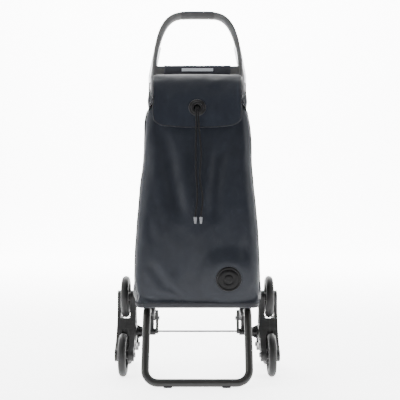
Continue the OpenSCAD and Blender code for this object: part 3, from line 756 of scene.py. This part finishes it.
def ribbon(name, lower, upper, stand, material):
    """A strip between two lines of points, standing a little off the cloth."""
    rows, uvs, n, run = [], [], len(lower), 0.0
    for i, (a, b) in enumerate(zip(lower, upper)):
        out = stand(i)
        if i:
            run += (Vector(a) - Vector(lower[i - 1])).length
        for t, lift in ((0.0, 0.1), (0.12, 0.9), (0.5, 1.1), (0.88, 0.9), (1.0, 0.1)):
            rows.append(Vector(a).lerp(Vector(b), t) + Vector(out) * lift)
            uvs.append((run * MM, t * (Vector(b) - Vector(a)).length * MM))
    obj = add_mesh(name, rows, grid_faces(n, 5), uvs=uvs)
    thicken(obj, 0.8, offset=-1.0)
    return dress(obj, material)


# --- Build the bag ---
BADGE = (84.0, -153.2, 282.0)
BADGE_TILT = math.radians(11.5)
BADGE_R = 34.0


def at_badge(x, y, z):
    s, c = math.sin(BADGE_TILT), math.cos(BADGE_TILT)
    return (BADGE[0] + x, BADGE[1] - s * y - c * z, BADGE[2] + c * y - s * z)


def settle_badge(bag):
    """Lays the cloth flat behind the badge."""
    normal = Vector((0, -math.cos(BADGE_TILT), -math.sin(BADGE_TILT)))
    centre = Vector(BADGE)
    reach, fade = 88, 50
    for v in bag.data.vertices:
        p = v.co / MM - centre
        high = p.dot(normal)
        if abs(high) > 25:
            continue
        flat = (p - normal * high).length
        pull = smooth((reach - flat) / fade)
        if pull > 0:
            v.co = v.co - normal * ((high - 0.3) * pull * MM)


bag, heights = make_bag()
relax_bag(bag, heights)
settle_badge(bag)

front_seams = {side: column(bag, "corner", sgn, 0.5 + 0.375 * sgn) for side, sgn in SIGN.items()}
back_seams = {side: column(bag, "heel", sgn, 0.5) for side, sgn in SIGN.items()}
bottom = row(bag, 0)
band_low, band_high = row(bag, 0), row(bag, 2)
rim = row(bag, BAG_ROWS - 1)

dress(bag, "bag_fabric")
make_cloth(bag, 1.2, lining="lining", offset=-1.0)
ride_soft(bag, replaces=["bag_body"])


def outward(p):
    """Level direction away from the bag's middle line."""
    v = Vector((p[0] * 0.9, p[1] + 50, 0))
    return v.normalized()


def outline_normals(ring):
    """Outward directions round a closed ring that runs from the left of the front to the right."""
    out = []
    n = len(ring)
    for i in range(n):
        d = Vector(ring[(i + 1) % n]) - Vector(ring[i - 1])
        out.append(Vector((d.y, -d.x, 0)).normalized())
    return out


for side, sgn in SIGN.items():
    seam = [p + outward(p) * 0.3 for p in front_seams[side]]
    pipe = tube(f"front_piping_{side}", seam, 1.3, sides=10)
    dress(pipe, "bag_fabric")
    ride_soft(pipe)
    seam = [p + outward(p) * 0.4 for p in back_seams[side]]
    pipe = tube(f"back_piping_{side}", seam, 1.6, sides=8)
    dress(pipe, "binding")
    ride_soft(pipe)
    line = [Vector(p) + outward(p) * 0.5 + Vector((-sgn * 6.0, -1.2, 0)) for p in front_seams[side][3:-6]]
    sewn = stitches(f"seam_stitches_{side}", line, (sgn * 0.5, -0.86, 0))
    ride_soft(sewn)

normals = outline_normals(bottom)
loop_low = band_low + band_low[:1]
loop_high = band_high + band_high[:1]
band = ribbon("bottom_binding", loop_low, loop_high, lambda i: normals[i % COLUMN_COUNT] * 1.2, "binding")
ride_soft(band)
line = [Vector(p) + normals[i] * 0.5 + Vector((0, 0, 2.2)) for i, p in enumerate(band_high)]
sewn = stitches("bottom_stitches", line + line[:1], lambda i: normals[i % COLUMN_COUNT])
ride_soft(sewn)



def gathers(d, a):
    """The rolled hem's puckers, along its length d."""
    return 0.12 * math.sin(d * 0.7) + 0.08 * math.sin(d * 0.31 + 1)


roll = tube("mouth_hem", [Vector(p) for p in rim + rim[:2]], 3.2, sides=10, strand=gathers)
dress(roll, "bag_fabric")
ride_soft(roll)

# --- The cord that draws the mouth together, laid in a rounded rectangle on the rim ---
HEM_HALF, HEM_MID_Y, HEM_CORNER = (116.3, 53.7), 5.2, 24
CORD_D = 4.5


def hem_route():
    out = []
    for sx, sy, start in ((1, 1, 0), (-1, 1, 90), (-1, -1, 180), (1, -1, 270)):
        for k in range(10):
            a = math.radians(start + 90 * k / 9)
            out.append(
                (
                    sx * (HEM_HALF[0] - HEM_CORNER) + HEM_CORNER * math.cos(a),
                    HEM_MID_Y + sy * (HEM_HALF[1] - HEM_CORNER) + HEM_CORNER * math.sin(a),
                    BAG_TOP + CORD_D / 2 + 1.0,
                )
            )
    return out + out[:2]


hem = dress(tube("mouth_cord", hem_route(), CORD_D / 2, sides=10), "cord")
ride_soft(hem, replaces=["hem_cord"])

# --- Back panel: a flat tab from the bag's back up to the crossbar sleeve ---
TAB_HALF, TAB_TOP_S, TAB_LOW_S, TAB_Y = 117.0, 749.0, 640.0, -16.8
TAB_COLS, TAB_ROWS = 40, 22


def tab_point(u, v):
    x = lerp(-TAB_HALF, TAB_HALF, u)
    s = lerp(TAB_LOW_S, TAB_TOP_S, v)
    wave = 0.7 * noise.noise(Vector((x / 30, s / 40, 8)))
    return in_frame(x * (1 - 0.02 * v), TAB_Y + wave, s)


verts = [tab_point(k / (TAB_COLS - 1), i / (TAB_ROWS - 1)) for i in range(TAB_ROWS) for k in range(TAB_COLS)]
tab = add_mesh("back_panel", verts, grid_faces(TAB_ROWS, TAB_COLS), uvs=front_uvs(verts))
dress(tab, "bag_fabric")
make_cloth(tab, 1.6)
ride_soft(tab)
for side, sgn in SIGN.items():
    line = [in_frame(sgn * (TAB_HALF - 5), -18.0, s) for s in range(664, 748, 3)]
    ride_soft(stitches(f"tab_stitches_{side}", line, (0, -1, 0)))


# --- Gussets: the corners of the mouth, drawn up to the back panel beside the flap ---
GUSSET_COLS, GUSSET_ROWS = 28, 18


def gusset_point(sgn, u, v):
    """u runs from the back to the front and v from the side wall up to the free edge."""
    y = lerp(58, -56, u)
    low = Vector((sgn * lerp(139, 136, u), lerp(54, -50, u), 740))
    top_z = lerp(834, 776, u**1.1)
    top = Vector((sgn * (lerp(139, 123, u) + 5 * math.sin(math.pi * u)), y, top_z))
    p = low.lerp(top, v)
    ripple = 1.5 * noise.noise(Vector((u * 3, v * 3, sgn)))
    belly = math.sin(math.pi * v) * (4 * math.sin(math.pi * u) + ripple)
    return p + Vector((sgn * belly, 0, 0))


for side, sgn in SIGN.items():
    verts = [
        gusset_point(sgn, k / (GUSSET_COLS - 1), i / (GUSSET_ROWS - 1))
        for i in range(GUSSET_ROWS)
        for k in range(GUSSET_COLS)
    ]
    uvs = [(v[1] * MM, v[2] * MM) for v in verts]
    ear = add_mesh(f"mouth_gusset_{side}", verts, grid_faces(GUSSET_ROWS, GUSSET_COLS), uvs=uvs)
    # The gussets wear the darkened cloth: painted shade of the hollow folds beside the flap
    dress(ear, "gusset_painted_shade")
    make_cloth(ear, 1.2)
    ride_soft(ear)
    edge = [gusset_point(sgn, k / 40, 1.0) for k in range(41)]
    ride_soft(dress(tube(f"gusset_binding_{side}", edge, 1.7, sides=8), "binding"))


# --- Flap: hangs from the top of the back panel over the mouth ---
FLAP = [(63.5, 846), (25, 851), (-14, 844), (-43, 823), (-62, 790), (-77.5, 747), (-88, 706), (-91, 692)]
FLAP_HALF, FLAP_T = 123.0, 2.2
FLAP_CORNER = 30.0
GROMMET = (0.0, -77.5, 747.0)
GROMMET_TILT = math.radians(14)
profile = spline([(0, y, z) for y, z in FLAP], 12)
profile_run = [0.0]
for p, q in zip(profile, profile[1:]):
    profile_run.append(profile_run[-1] + (q - p).length)
FLAP_LENGTH = profile_run[-1]


def profile_at(d):
    """Point of the flap's side view at a distance from the hinge, and the outward direction there."""
    d = clamp(d, 0, FLAP_LENGTH - 1e-3)
    for i in range(len(profile) - 1):
        if d <= profile_run[i + 1]:
            t = (d - profile_run[i]) / (profile_run[i + 1] - profile_run[i])
            along = (profile[i + 1] - profile[i]).normalized()
            return profile[i].lerp(profile[i + 1], t), Vector((0, along.z, -along.y)) * -1
    return profile[-1], Vector((0, -1, 0))


def off_grommet(d):
    p = profile_at(d)[0]
    return abs(p.z - GROMMET[2]) + abs(p.y - GROMMET[1])


GROMMET_RUN = min(range(int(FLAP_LENGTH)), key=off_grommet)


def flap_end(x):
    """Length of the flap at x: the lower edge dips in the middle and has round corners."""
    over = max(0.0, abs(x) - (FLAP_HALF - FLAP_CORNER))
    corner = FLAP_CORNER - math.sqrt(max(0.0, FLAP_CORNER**2 - over**2))
    return FLAP_LENGTH - 9.0 * (abs(x) / FLAP_HALF) ** 2.0 - 0.8 * corner


def flap_point(x, share, lift=0.0):
    """Point of the flap: soft creases down its front, drawn flat with a few spokes round the grommet."""
    d = share * flap_end(x)
    p, out = profile_at(d)
    front = smooth((d - 95) / 60)
    side = abs(x) / FLAP_HALF
    push = -9.0 * front * side**5
    broad = noise.noise(Vector((x / 45, d / 60, 2)))
    fine = noise.noise(Vector((x / 16, d / 30, 6)))
    push += front * (2.6 * broad + 1.1 * fine)
    push += (1 - front) * 1.2 * noise.noise(Vector((x / 60, d / 35, 4)))
    push -= 2.2 * math.exp(-(((abs(x) - 52) / 20) ** 2)) * math.exp(-(((d - 118) / 16) ** 2))
    ring = math.hypot(x, d - GROMMET_RUN)
    calm = smooth((ring - 22) / 22)
    push *= calm
    spokes = math.cos(5 * math.atan2(d - GROMMET_RUN, x) + 0.6)
    push += 0.9 * spokes * math.exp(-(((ring - 40) / 14) ** 2)) * smooth((ring - 24) / 8)
    sag = -3.0 * math.sin(math.pi * clamp(d / 95)) * (1 - side**2) * 0.6
    narrow = 1 - 0.012 * front * math.sin(math.pi * clamp((d - 95) / 150))
    return Vector((x * narrow, p.y, p.z)) + out * (push + sag + lift)


FLAP_COLS, FLAP_ROWS = 62, 66
verts, uvs = [], []
for i in range(FLAP_ROWS):
    for k in range(FLAP_COLS):
        x = lerp(-FLAP_HALF, FLAP_HALF, k / (FLAP_COLS - 1))
        verts.append(flap_point(x, i / (FLAP_ROWS - 1)))
        uvs.append((x * MM, i / (FLAP_ROWS - 1) * flap_end(x) * MM))
middle = Vector(GROMMET)
GROMMET_CUT = 14
faces = [
    f
    for f in grid_faces(FLAP_ROWS, FLAP_COLS)
    if (sum((verts[i] for i in f), Vector()) / 4 - middle).length > GROMMET_CUT
]
flap = add_mesh("flap_cloth", verts, faces, uvs=uvs)
bm = bmesh.new()
bm.from_mesh(flap.data)
bmesh.ops.delete(bm, geom=[v for v in bm.verts if not v.link_faces], context="VERTS")
bm.to_mesh(flap.data)
bm.free()
dress(flap, "flap_fabric")
make_cloth(flap, FLAP_T)
ride_soft(flap, "flap", replaces=["flap_panel"])


def flap_edge(inset, lift):
    """Points round the flap's free edge, from the left side's top to the right side's, a little way in."""
    reach = FLAP_HALF - inset
    down = [lerp(0.36, 1 - (inset + 16) / FLAP_LENGTH, i / 29) for i in range(30)]
    across = [lerp(-reach, reach, k / 60) for k in range(1, 60)]
    out = [flap_point(-reach, share, lift) for share in down]
    out += [flap_point(x, 1 - inset / flap_end(x), lift) for x in across]
    return out + [flap_point(reach, share, lift) for share in reversed(down)]


edge = flap_edge(9.0, FLAP_T / 2)
ride_soft(stitches("flap_stitches", edge, (0, -1, 0.1)), "flap")
hem_path = flap_edge(0.6, 0.0)
ride_soft(dress(tube("flap_edge", hem_path, 1.7, sides=8), "binding"), "flap")


# --- Grommet: a ring through the flap with a washer behind it, as profiles of radius and height ---
def at_grommet(x, y, z):
    s, c = math.sin(GROMMET_TILT), math.cos(GROMMET_TILT)
    return (GROMMET[0] + x, GROMMET[1] + s * y - c * z, GROMMET[2] + c * y + s * z)


HOLE = 10.0
face = FLAP_T / 2
ring_profile = [
    (HOLE, -face), (HOLE, face + 1.4), (HOLE + 0.5, face + 2.4), (HOLE + 1.6, face + 3.0), (16.5, face + 3.1),
    (17.6, face + 2.7), (18.0, face + 2.1), (19.0, face + 2.0), (20.0, face + 2.3), (22.0, face + 2.1),
    (23.4, face + 1.4), (24.0, face + 0.5), (23.8, face), (HOLE + 1.9, face), (HOLE + 1.9, -face), (HOLE, -face),
]
ring = dress(lathe("grommet_ring", ring_profile, at_grommet, 72), "grommet_plastic")
ride_soft(ring, "flap", replaces=["grommet_front"])
back_profile = [
    (HOLE + 0.4, -face - 0.2), (19.4, -face - 0.2), (20.0, -face - 0.8), (19.4, -face - 1.8), (14.0, -face - 2.0),
    (HOLE + 0.9, -face - 1.8), (HOLE + 0.4, -face - 1.2), (HOLE + 0.4, -face - 0.2),
]
washer = dress(lathe("grommet_washer", back_profile, at_grommet, 72), "grommet_plastic")
ride_soft(washer, "flap", replaces=["grommet_back"])

# --- Badge: a soft moulded disc with plain concentric grooves ---
badge_profile = [
    (BADGE_R - 0.6, 0.0), (BADGE_R, 0.6), (BADGE_R - 0.2, 1.7), (BADGE_R - 1.2, 2.7), (BADGE_R - 3.0, 3.2),
    (BADGE_R - 5.0, 3.3), (BADGE_R - 5.7, 2.3), (BADGE_R - 6.6, 1.9), (BADGE_R - 7.5, 2.3), (BADGE_R - 8.1, 3.2),
    (19.0, 3.7), (14.6, 3.8), (14.0, 3.1), (13.2, 2.9), (12.4, 3.1), (11.8, 3.8), (6.0, 4.0), (1.0, 4.1),
]
badge = dress(lathe("round_badge", badge_profile, at_badge, 96), "badge_rubber")
ride_soft(badge, replaces=["badge"])

# --- Crossbar sleeve ---
low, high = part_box("hanger_sleeve")
SLEEVE_HALF = high.x / MM
BAR_S, BAR_Y = 763.0, -4.0


def rounded_section(half_y, half_s, share):
    """Point of a rounded rectangle at a share of a turn: a superellipse."""
    a = 2 * math.pi * share
    c, s = math.cos(a), math.sin(a)
    power = 0.42
    return half_y * math.copysign(abs(c) ** power, c), half_s * math.copysign(abs(s) ** power, s)


def sleeve_point(u, share):
    x = lerp(-SLEEVE_HALF, SLEEVE_HALF, u)
    y, s = rounded_section(13.9, 14.7, share)
    end = min(u, 1 - u) * 2 * SLEEVE_HALF
    rumple = 0.7 * noise.noise(Vector((x / 24, math.sin(share * 6.3) * 1.4, 1)))
    fat = 0.5 * (1 - smooth((end - 7) / 2)) + rumple
    fat -= 0.6 * math.exp(-(((end - 9.5) / 1.2) ** 2))
    k = 1 + (fat - 0.5) / 16
    return in_frame(x, BAR_Y + y * k, BAR_S + s * k)


SLEEVE_ROWS, SLEEVE_SIDES, SLEEVE_STEP = 90, 40, 0.0028
verts = [
    sleeve_point(i / (SLEEVE_ROWS - 1), k / SLEEVE_SIDES)
    for i in range(SLEEVE_ROWS)
    for k in range(SLEEVE_SIDES)
]
uvs = [(v[0] * MM, (k % SLEEVE_SIDES) * SLEEVE_STEP) for k, v in enumerate(verts)]
sleeve = add_mesh("crossbar_sleeve", verts, grid_faces(SLEEVE_ROWS, SLEEVE_SIDES, closed=True), uvs=uvs)
dress(sleeve, "sleeve_fabric")
thicken(sleeve, 1.2)
apply_modifiers(sleeve)
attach(sleeve, "frame")
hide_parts("hanger_sleeve")

# --- Ties: webbing loops that hold the bag's back to the tubes ---
SIDE_X, TIE_S, TIE_H = 134.0, (250.0, 560.0), 24.0
TIE_ROWS, TIE_SIDES = 9, 56
verts, uvs, faces = [], [], []
for sgn in (-1, 1):
    for s0 in TIE_S:
        base = len(verts)
        for i in range(TIE_ROWS):
            s = s0 + TIE_H * i / (TIE_ROWS - 1)
            for k in range(TIE_SIDES):
                a = 2 * math.pi * k / TIE_SIDES
                grow = 1.4 + 0.25 * noise.noise(Vector((a * 3, s / 6, sgn)))
                cx, cy = math.cos(a), math.sin(a)
                reach_x = 10 + grow
                x = reach_x * math.copysign(min(1.0, abs(cx) * 1.25), cx)
                y = (14 + grow - 0.2) * cy
                verts.append(in_frame(sgn * SIDE_X + x, y, s))
                uvs.append((k * 1.6 * MM, s * MM))
        faces += [tuple(base + v for v in f) for f in grid_faces(TIE_ROWS, TIE_SIDES, closed=True)]
ties = add_mesh("tie_loops", verts, faces, uvs=uvs)
dress(ties, "webbing")
make_cloth(ties, 1.3)
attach(ties, "frame")
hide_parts("bag_ties")


# --- Handle: a swept loop with a softer grip, and its crossbar ---
LOOP_HALF, LOOP_BASE, LOOP_RISE, HANDLE_FOOT = 127.0, 760.0, 168.0, 743.0


def loop_path(t):
    """Point of the loop in the frame plane, at an angle t of 0 to 180 degrees."""
    a = math.radians(t)
    x = LOOP_HALF * math.copysign(abs(math.cos(a)) ** 0.444, math.cos(a))
    return Vector((x, LOOP_BASE + LOOP_RISE * max(0.0, math.sin(a)) ** 1.25))


def loop_section(s):
    """Width in the frame plane and depth across it: flat at the feet and rounder at the top."""
    share = clamp((s - LOOP_BASE - 60) / (LOOP_RISE - 60))
    return 14 + 7 * share, 32 - 4 * share


def even_path(steps):
    """The loop's points at even distances, with its straight feet."""
    fine = [Vector((LOOP_HALF, HANDLE_FOOT))] + [loop_path(180 * (i / 1200)) for i in range(1201)]
    fine.append(Vector((-LOOP_HALF, HANDLE_FOOT)))
    run = [0.0]
    for a, b in zip(fine, fine[1:]):
        run.append(run[-1] + (b - a).length)
    out, i = [], 0
    for k in range(steps + 1):
        want = run[-1] * k / steps
        while i < len(run) - 2 and run[i + 1] < want:
            i += 1
        out.append(fine[i].lerp(fine[i + 1], (want - run[i]) / max(1e-9, run[i + 1] - run[i])))
    return out


def sweep_loop(name, path, grow, sides=32, shape=0.75):
    verts = []
    for i, p in enumerate(path):
        d = (path[min(len(path) - 1, i + 1)] - path[max(0, i - 1)]).normalized()
        w, depth = loop_section(p.y)
        end = min(i, len(path) - 1 - i)
        for k in range(sides):
            a = 2 * math.pi * k / sides
            c, s = math.cos(a), math.sin(a)
            g = grow(end, a)
            across = math.copysign(abs(c) ** shape, c) * (w / 2 + g)
            out = math.copysign(abs(s) ** shape, s) * (depth / 2 + g)
            verts.append(in_frame(p.x + d.y * across, BAR_Y + out, p.y - d.x * across))
    return add_mesh(name, verts, capped_faces(len(path), sides))


def loop_grow(end, a):
    """The loop's end faces have a small round edge."""
    return (-0.8, -0.2, 0.0)[min(end, 2)]


loop = even_path(150)
handle = dress(sweep_loop("handle_loop", loop, loop_grow), "handle_plastic")
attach(handle, "frame")
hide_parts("handle")

GRIP_HALF = 50.0
grip_path = [p for p in loop if p.y > LOOP_BASE + 100 and abs(p.x) < GRIP_HALF]


def grip_grow(end, a):
    """The grip stands proud of the loop, with a round lip at its ends and shallow ribs across its top."""
    lip = (0.0, 0.55, 0.8)[min(end, 2)]
    ribs = 0.22 * max(0.0, math.cos(a)) if end > 2 and end % 2 else 0.0
    return lip - ribs


grip = dress(sweep_loop("handle_grip", grip_path, grip_grow), "grip")
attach(grip, "frame")

bar_points = []
BAR_REACH, BAR_ROWS, BAR_SIDES = LOOP_HALF - 2, 41, 32
for i in range(BAR_ROWS):
    x = lerp(-BAR_REACH, BAR_REACH, i / (BAR_ROWS - 1))
    for k in range(BAR_SIDES):
        y, s = rounded_section(12.0, 12.8, k / BAR_SIDES)
        flare = 1 + 0.08 * smooth((abs(x) - (BAR_REACH - 12)) / 12)
        bar_points.append(in_frame(x, BAR_Y + y * flare, BAR_S + s * flare))
bar = dress(add_mesh("handle_crossbar", bar_points, capped_faces(BAR_ROWS, BAR_SIDES)), "handle_plastic")
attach(bar, "frame")

# --- CAD pieces: worn edges and finishes ---
# Width of the worn edge in metres, by slot
EDGE = {"steel": 0.0003, "label_fabric": 0.0003, "cord": 0.0002}
COMMON_EDGE = 0.0007
slot_of = {s["node"]: s["material_slot"] for s in frame["record"]["subparts"]}
for name, obj in NODES.items():
    if obj.hide_render:
        continue
    slot_name = slot_of[name]
    dress(obj, slot_name)
    for p in obj.data.polygons:
        p.use_smooth = True
    weld = obj.modifiers.new("weld", "WELD")
    weld.merge_threshold = 0.00002
    bevel = obj.modifiers.new("edge", "BEVEL")
    bevel.width = EDGE.get(slot_name, COMMON_EDGE)
    bevel.segments = 2
    bevel.limit_method = "ANGLE"
    bevel.angle_limit = math.radians(38)
    bevel.use_clamp_overlap = True
    normals = obj.modifiers.new("normals", "WEIGHTED_NORMAL")
    normals.keep_sharp = True

# --- Stage and light ---
# A paper sweep in metres: flat from front to back, a quarter turn, then straight up
STAGE_HALF, STAGE_FRONT, STAGE_BACK, STAGE_TURN, STAGE_STEPS = 9.0, -6.0, 5.0, 2.5, 40
FLAT_SHARE, TURN_SHARE, WALL_RISE = 0.6, 0.25, 40
stage_rows = []
for i in range(STAGE_STEPS + 1):
    t = i / STAGE_STEPS
    y = lerp(STAGE_FRONT, STAGE_BACK, min(1.0, t / FLAT_SHARE))
    z = 0.0
    if t > FLAT_SHARE:
        a = math.pi / 2 * min(1.0, (t - FLAT_SHARE) / TURN_SHARE)
        y, z = STAGE_BACK + STAGE_TURN * math.sin(a), STAGE_TURN - STAGE_TURN * math.cos(a)
        if t > FLAT_SHARE + TURN_SHARE:
            z = STAGE_TURN + (t - FLAT_SHARE - TURN_SHARE) * WALL_RISE
    stage_rows.append((y, z))
stage_verts = [(x / MM, y / MM, z / MM) for y, z in stage_rows for x in (-STAGE_HALF, STAGE_HALF)]
floor = add_mesh("studio_floor", stage_verts, grid_faces(len(stage_rows), 2))
paper = Surface(
    "studio_paper", Specular_IOR_Level=0.15, Emission_Color=(1, 1, 1, 1), Emission_Strength=3.6
)
paper.colour(paper.ramp(paper.noise(1.3, 3.0), (0.2, (0.885, 0.885, 0.89)), (0.8, (0.905, 0.905, 0.908))))
paper.roughness(paper.to_range(paper.noise(14.0), 0.75, 0.9))
floor.data.materials.append(paper.material)


def softbox(name, at, aim, size, power):
    data = bpy.data.lights.new(name, "AREA")
    data.shape = "RECTANGLE"
    data.size, data.size_y = size
    data.energy = power
    obj = bpy.data.objects.new(name, data)
    scene.collection.objects.link(obj)
    obj.location = at
    obj.rotation_euler = (Vector(aim) - Vector(at)).to_track_quat("-Z", "Y").to_euler()
    return obj


softbox("box_left", (-2.6, -0.7, 1.5), (0, 0, 0.6), (1.4, 2.2), 95)
softbox("box_right", (2.6, -0.4, 1.4), (0, 0, 0.6), (1.4, 2.2), 75)
softbox("box_top", (-0.4, -0.2, 3.2), (0, 0, 0.4), (2.4, 1.8), 60)
softbox("box_front", (-0.6, -3.6, 2.2), (0, 0, 0.5), (1.2, 0.8), 7)
softbox("wash_low", (0.0, 3.2, 4.2), (0, 5.0, 0.0), (7.0, 2.0), 900)
softbox("wash_high", (0.0, 3.0, 4.5), (0, 7.3, 2.5), (7.0, 2.0), 1500)
world = bpy.data.worlds.new("studio")
scene.world = world
world.use_nodes = True
sky = world.node_tree.nodes["Background"]
sky.inputs["Color"].default_value = (1, 1, 1, 1)
# The room is dark to the object and white to the eye, so that the views from behind have a pale ground too
eye = world.node_tree.nodes.new("ShaderNodeLightPath")
strength = world.node_tree.nodes.new("ShaderNodeMapRange")
strength.inputs["To Min"].default_value = 0.1
strength.inputs["To Max"].default_value = 5.0
world.node_tree.links.new(eye.outputs["Is Camera Ray"], strength.inputs["Value"])
world.node_tree.links.new(strength.outputs[0], sky.inputs["Strength"])
